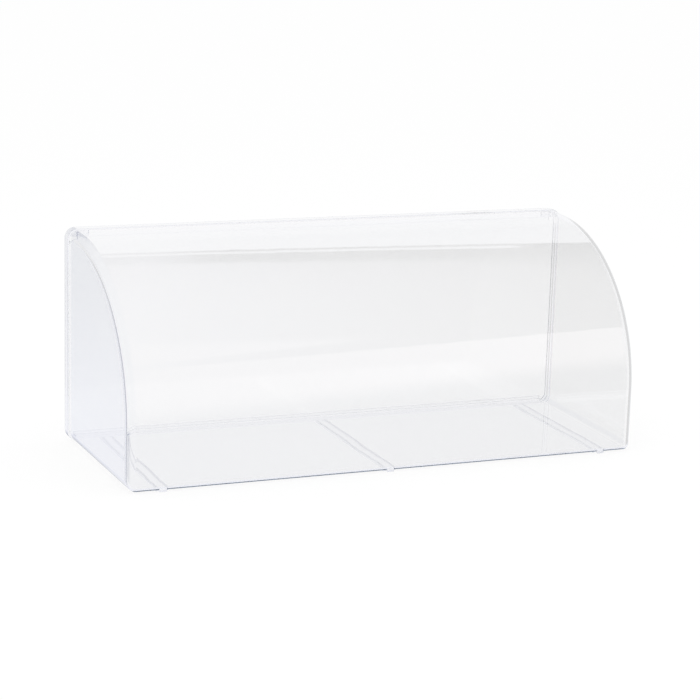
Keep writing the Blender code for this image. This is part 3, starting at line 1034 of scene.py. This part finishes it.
def behind_the_case(tree, height, sideways, ceiling):
    """A white sweep, then a dark gap with a thin light line in it, then the ceiling."""
    crease = sloping(tree, sideways, CREASE)
    sweep = mix_colour(tree, soft_step(tree, height, *SWEEP_CHANGE), SWEEP_LOW, SWEEP_HIGH)
    tone = mix_colour(tree, soft_step(tree, height, *crease), sweep, ceiling)
    gap = mix_colour(tree, soft_step(tree, sideways, *GAP_START), GAP_END, DARK_GAP)
    in_gap = between(tree, height, crease, sloping(tree, sideways, GAP_TOP))
    tone = mix_colour(tree, in_gap, tone, gap)
    in_line = between(tree, height, sloping(tree, sideways, LINE_LOW), sloping(tree, sideways, LINE_HIGH))
    in_line = calculate(tree, "MULTIPLY", in_line, soft_fall(tree, sideways, *LINE_END))
    return mix_colour(tree, in_line, tone, LIGHT_LINE)


def behind_the_camera(tree, height, sideways, across, ceiling):
    """The room, with a large soft light and a fainter one above it on the left."""
    room = mix_colour(tree, across, ROOM_LEFT, ROOM_RIGHT)
    tone = mix_colour(tree, soft_step(tree, height, *CEILING_START), room, ceiling)
    main_light = mix_colour(tree, across, MAIN_LIGHT_LEFT, MAIN_LIGHT_RIGHT)
    low, high = sloping(tree, sideways, MAIN_LIGHT_LOW), sloping(tree, sideways, MAIN_LIGHT_HIGH)
    tone = mix_colour(tree, between(tree, height, low, high), tone, main_light)
    low, high = sloping(tree, sideways, SIDE_LIGHT_LOW), sloping(tree, sideways, SIDE_LIGHT_HIGH)
    return mix_colour(tree, between(tree, height, low, high), tone, SIDE_LIGHT)


def add_left_area(tree, direction, tone):
    """What the left end mirrors: lighter low down, and grey far out."""
    left = mix_colour(tree, soft_step(tree, direction["Z"], *LEFT_HIGH_START), LEFT_LOW, LEFT_HIGH)
    left = mix_colour(tree, soft_step(tree, direction["X"], *LEFT_FAR_END), LEFT_FAR, left)
    share = soft_step(tree, direction["Y"], *LEFT_AREA_START)
    for axis, (low, high) in LEFT_AREA.items():
        share = calculate(tree, "MULTIPLY", share, between(tree, direction[axis], low, high))
    return mix_colour(tree, share, tone, left)


def make_world():
    world = bpy.data.worlds.new("studio")
    world.use_nodes = True
    tree = world.node_tree
    direction = parts_of(tree, tree.nodes.new("ShaderNodeTexCoord").outputs["Generated"])
    span = VIEW_RIGHT - VIEW_LEFT
    clamp = tree.nodes.new("ShaderNodeClamp")
    clamp.inputs["Max"].default_value = span
    tree.links.new(calculate(tree, "SUBTRACT", direction["X"], VIEW_LEFT), clamp.inputs["Value"])
    sideways = clamp.outputs["Result"]
    across = calculate(tree, "DIVIDE", sideways, span)
    ceiling = mix_colour(tree, across, CEILING_LEFT, CEILING_RIGHT)
    near = behind_the_camera(tree, direction["Z"], sideways, across, ceiling)
    far = behind_the_case(tree, direction["Z"], sideways, ceiling)
    tone = mix_colour(tree, soft_step(tree, direction["Y"], *CASE_SIDE), near, far)
    tone = mix_colour(tree, soft_step(tree, direction["X"], *LEFT_BORDER), LEFT_NEAR, tone)
    tone = mix_colour(tree, soft_step(tree, direction["X"], *RIGHT_BORDER), tone, RIGHT_SIDE)
    tone = add_left_area(tree, direction, tone)
    tone = mix_colour(tree, soft_step(tree, direction["Z"], *GROUND_TOP), ALL_ROUND, tone)

    # Only mirrored rays see the studio, and the ones mirrored more than once see a single tone
    path = tree.nodes.new("ShaderNodeLightPath").outputs
    again = calculate(tree, "GREATER_THAN", path["Glossy Depth"], MORE_THAN_ONCE)
    tone = mix_colour(tree, again, tone, ALL_ROUND)
    mirrored = calculate(tree, "MINIMUM", path["Glossy Depth"], 1.0)
    background = tree.nodes["Background"]
    tree.links.new(mix_colour(tree, mirrored, WHITE, tone), background.inputs["Color"])
    bpy.context.scene.world = world
    return world


studio = make_world()
print("the world has", len(studio.node_tree.nodes), "nodes")

# %% The lamp
LAMP_SIZE = (1.6, 1.2)
LAMP_WATTS = 12.0
LAMP_PLACE = (0.0, -0.2, 1.8)

lamp_data = bpy.data.lights.new("overhead_soft_light", "AREA")
lamp_data.shape = "RECTANGLE"
lamp_data.size, lamp_data.size_y = LAMP_SIZE
lamp_data.energy = LAMP_WATTS
lamp = bpy.data.objects.new("overhead_soft_light", lamp_data)
lamp.location = LAMP_PLACE
lamp.visible_glossy = False
lamp.visible_transmission = False
bpy.context.scene.collection.objects.link(lamp)
print("one soft light overhead")

# %% [markdown]
# ## The camera
#
# The camera stands where the photograph was taken: a little above the case and to its left, far enough away
# for a mild perspective. Yaw, pitch and roll are turned into its three axes.

# %% Set the camera
FOCAL_PIXELS = 2166.5
PICTURE_WIDTH = 700
SENSOR_WIDTH = 36.0  # millimetres
CAMERA_PLACE = Vector((-0.8592, -2.0551, 0.6296))
YAW, PITCH, ROLL = math.radians(22.565), math.radians(13.284), math.radians(1.719)

ahead = Vector((math.sin(YAW) * math.cos(PITCH), math.cos(YAW) * math.cos(PITCH), -math.sin(PITCH)))
level = Vector((math.cos(YAW), -math.sin(YAW), 0.0))
upward = level.cross(ahead)
right_axis = math.cos(ROLL) * level + math.sin(ROLL) * upward
up_axis = math.cos(ROLL) * upward - math.sin(ROLL) * level
camera_data = bpy.data.cameras.new("camera")
camera_data.sensor_width = SENSOR_WIDTH
camera_data.lens = FOCAL_PIXELS * SENSOR_WIDTH / PICTURE_WIDTH
camera = bpy.data.objects.new("camera", camera_data)
turn = Matrix((right_axis, up_axis, -ahead)).transposed()
camera.matrix_world = Matrix.Translation(CAMERA_PLACE) @ turn.to_4x4()
bpy.context.scene.collection.objects.link(camera)
bpy.context.scene.camera = camera
bpy.context.scene.view_settings.view_transform = "Standard"
print(f"the lens is {camera_data.lens:.1f} mm")

# %% [markdown]
# Light that gets into a wall at its edge is mirrored inside it up to about a hundred times before it leaves at
# the rear. With the usual limits such paths end early, and every edge and round turns black.

# %% Let light run its whole way through the walls
paths = bpy.context.scene.cycles
paths.max_bounces = 256
paths.glossy_bounces = 240
paths.transmission_bounces = 24
print("a path may have", paths.max_bounces, "steps")
